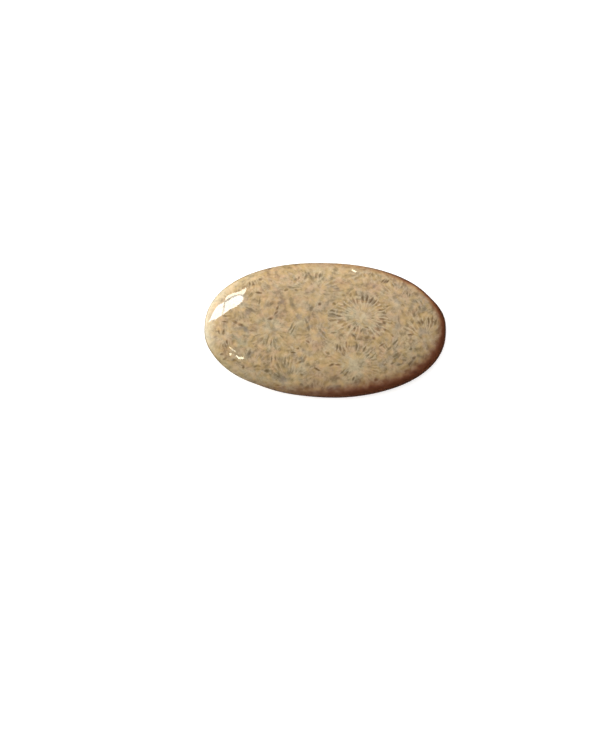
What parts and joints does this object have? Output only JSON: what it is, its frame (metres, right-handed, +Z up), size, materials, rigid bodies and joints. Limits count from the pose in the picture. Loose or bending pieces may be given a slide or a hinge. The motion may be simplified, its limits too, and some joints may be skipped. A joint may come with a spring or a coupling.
{
  "type": "polished fossil coral cabochon",
  "caption": "Polished oval cabochon of silicified fossil coral, with a low domed face, a steep rounded wall and a flat lapped back to rest on or be set by.",
  "frame": {"origin": "centre of the flat back's box, on the surface that the stone rests on", "axes": "+X along the oval's long axis, +Y across it, +Z up out of the domed face"},
  "size_m": [0.045, 0.0252, 0.006],
  "materials": {
    "polished_coral": "high polish on the face, satin lapped back"
  },
  "bodies": {
    "root": {"fossil_coral_stone": "polished_coral"}
  },
  "joints": []
}
